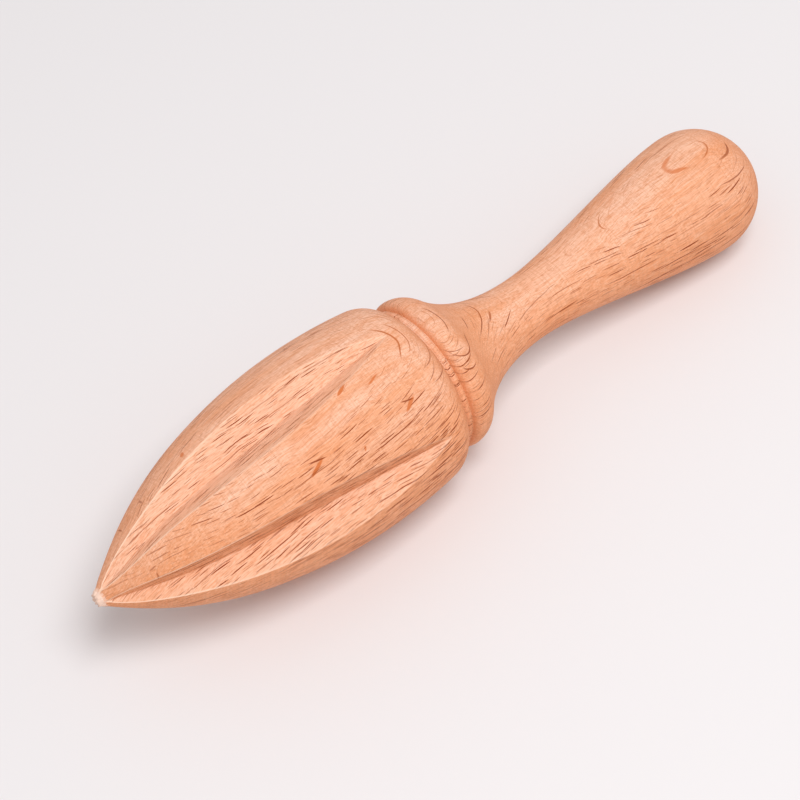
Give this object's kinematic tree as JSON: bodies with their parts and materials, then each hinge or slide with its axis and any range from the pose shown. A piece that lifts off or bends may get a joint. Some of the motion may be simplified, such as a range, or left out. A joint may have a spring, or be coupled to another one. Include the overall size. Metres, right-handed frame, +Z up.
{
  "type": "citrus reamer",
  "caption": "Hand reamer of turned beech: a pointed, fluted head that presses the juice from a halved citrus fruit, a rounded collar and a club-shaped handle.",
  "frame": {"origin": "centre of the bottom face of the box round the reamer as it lies on a table, so the table is the plane z = 0", "axes": "+X runs from the tip of the head to the end of the handle, which lies a little lower than the tip, +Z is up, and the XZ plane cuts the reamer into two mirrored halves"},
  "size_m": [0.1698, 0.0416, 0.0415],
  "materials": {
    "beech": "bare steamed beech, turned and fine sanded, matt"
  },
  "bodies": {
    "root": {"reamer": "beech"}
  },
  "joints": []
}
